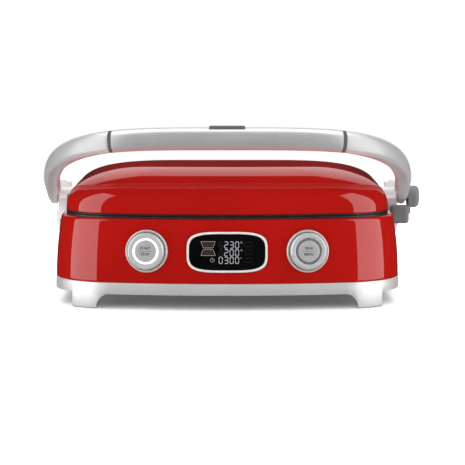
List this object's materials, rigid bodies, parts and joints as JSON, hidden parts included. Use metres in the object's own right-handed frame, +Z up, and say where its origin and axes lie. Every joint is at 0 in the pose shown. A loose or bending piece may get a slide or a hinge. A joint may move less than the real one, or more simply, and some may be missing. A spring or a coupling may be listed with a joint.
{
  "type": "contact grill",
  "caption": "Countertop contact grill with ribbed plates, a lid on a floating rear hinge, a bowed handle, a release lever and a drip tray.",
  "frame": {"origin": "on the table, under the middle of the box that holds the whole grill", "axes": "+X to the right as the user faces the panel, +Y to the rear hinge, +Z up"},
  "size_m": [0.442, 0.2934, 0.1941],
  "materials": {
    "housing_enamel": "deep gloss red",
    "frame_metal": "satin cast",
    "handle_metal": "satin",
    "hinge_metal": "satin cast",
    "panel_metal": "satin turned",
    "cap_metal": "satin",
    "ring_lit": "milky light guide, lit",
    "ring_unlit": "milky light guide, unlit",
    "plate_coating": "non-stick coated casting",
    "element_steel": "dull sheath",
    "reflector_steel": "bright",
    "shaft_steel": "ground",
    "dark_plastic": "fine grain",
    "grey_plastic": "fine grain",
    "screen_gloss": "black glossy window",
    "circuit_board": "laminate",
    "pad_rubber": "matt"
  },
  "bodies": {
    "base": {"base_shell": "housing_enamel", "base_frame": "frame_metal", "foot_pad_front_left": "pad_rubber", "foot_pad_front_right": "pad_rubber", "foot_pad_rear_left": "pad_rubber", "foot_pad_rear_right": "pad_rubber", "bottom_cover": "dark_plastic", "lower_cooking_plate": "plate_coating", "lower_heating_element": "element_steel", "lower_reflector": "reflector_steel", "display_bezel": "panel_metal", "display_window": "screen_gloss", "display_module": "dark_plastic", "control_board": "circuit_board", "dial_bezel_left": "panel_metal", "dial_bezel_right": "panel_metal", "light_ring_left": "ring_lit", "light_ring_right": "ring_unlit", "encoder_left": "dark_plastic", "encoder_right": "dark_plastic", "cord_gland": "dark_plastic", "hinge_bracket_left": "hinge_metal", "hinge_bracket_right": "hinge_metal", "bracket_screw_left_inner": "shaft_steel", "bracket_screw_left_outer": "shaft_steel", "bracket_screw_right_inner": "shaft_steel", "bracket_screw_right_outer": "shaft_steel"},
    "hinge_carriage": {"hinge_bush_left": "dark_plastic", "hinge_bush_right": "dark_plastic"},
    "lid": {"lid_shell": "housing_enamel", "lid_inner_frame": "dark_plastic", "upper_reflector": "reflector_steel", "upper_heating_element": "element_steel", "upper_cooking_plate": "plate_coating", "hinge_shaft": "shaft_steel", "handle_grip": "handle_metal", "handle_rest_pad": "grey_plastic", "handle_arm_left": "handle_metal", "handle_arm_right": "handle_metal", "handle_band_left": "grey_plastic", "handle_band_right": "grey_plastic", "lid_lug_left": "handle_metal", "lid_lug_right": "handle_metal"},
    "release_lever": {"hinge_release_lever": "grey_plastic"},
    "tray": {"drip_tray": "dark_plastic"},
    "left_dial": {"dial_left": "panel_metal"},
    "right_dial": {"dial_right": "panel_metal"},
    "left_button": {"button_left": "cap_metal"},
    "right_button": {"button_right": "cap_metal"},
    "lower_release": {"plate_release_lower": "grey_plastic"},
    "upper_release": {"plate_release_upper": "grey_plastic"}
  },
  "joints": [
    {"name": "hinge_float", "type": "slide", "parent": "base", "child": "hinge_carriage", "axis": [0, 0, 1], "range_m": [0, 0.01]},
    {"name": "lid_hinge", "type": "hinge", "parent": "hinge_carriage", "child": "lid", "pos_m": [0, 0.13358, 0.0975], "axis": [-1, 0, 0], "range_deg": [0, 180]},
    {"name": "lever_hinge", "type": "hinge", "parent": "hinge_carriage", "child": "release_lever", "pos_m": [0.2064, 0.13358, 0.0975], "axis": [-1, 0, 0], "range_deg": [0, 15], "stiffness_Nm_per_rad": 0.05},
    {"name": "tray_slide", "type": "slide", "parent": "base", "child": "tray", "axis": [0, 1, 0], "range_m": [0, 0.16]},
    {"name": "left_dial_turn", "type": "hinge", "parent": "base", "child": "left_dial", "pos_m": [-0.0933, -0.13412, 0.0629], "axis": [-0.1314, -0.9868, 0.0945], "continuous": true},
    {"name": "right_dial_turn", "type": "hinge", "parent": "base", "child": "right_dial", "pos_m": [0.0779, -0.13412, 0.0629], "axis": [0.1314, -0.9868, 0.0945], "continuous": true},
    {"name": "left_button_push", "type": "slide", "parent": "base", "child": "left_button", "axis": [0.1314, 0.9868, -0.0945], "range_m": [0, 0.0015], "stiffness_N_per_m": 800},
    {"name": "right_button_push", "type": "slide", "parent": "base", "child": "right_button", "axis": [-0.1314, 0.9868, -0.0945], "range_m": [0, 0.0015], "stiffness_N_per_m": 800},
    {"name": "lower_release_push", "type": "slide", "parent": "base", "child": "lower_release", "axis": [1, 0, 0], "range_m": [0, 0.0025], "stiffness_N_per_m": 600},
    {"name": "upper_release_push", "type": "slide", "parent": "lid", "child": "upper_release", "axis": [1, 0, 0], "range_m": [0, 0.0025], "stiffness_N_per_m": 600}
  ]
}
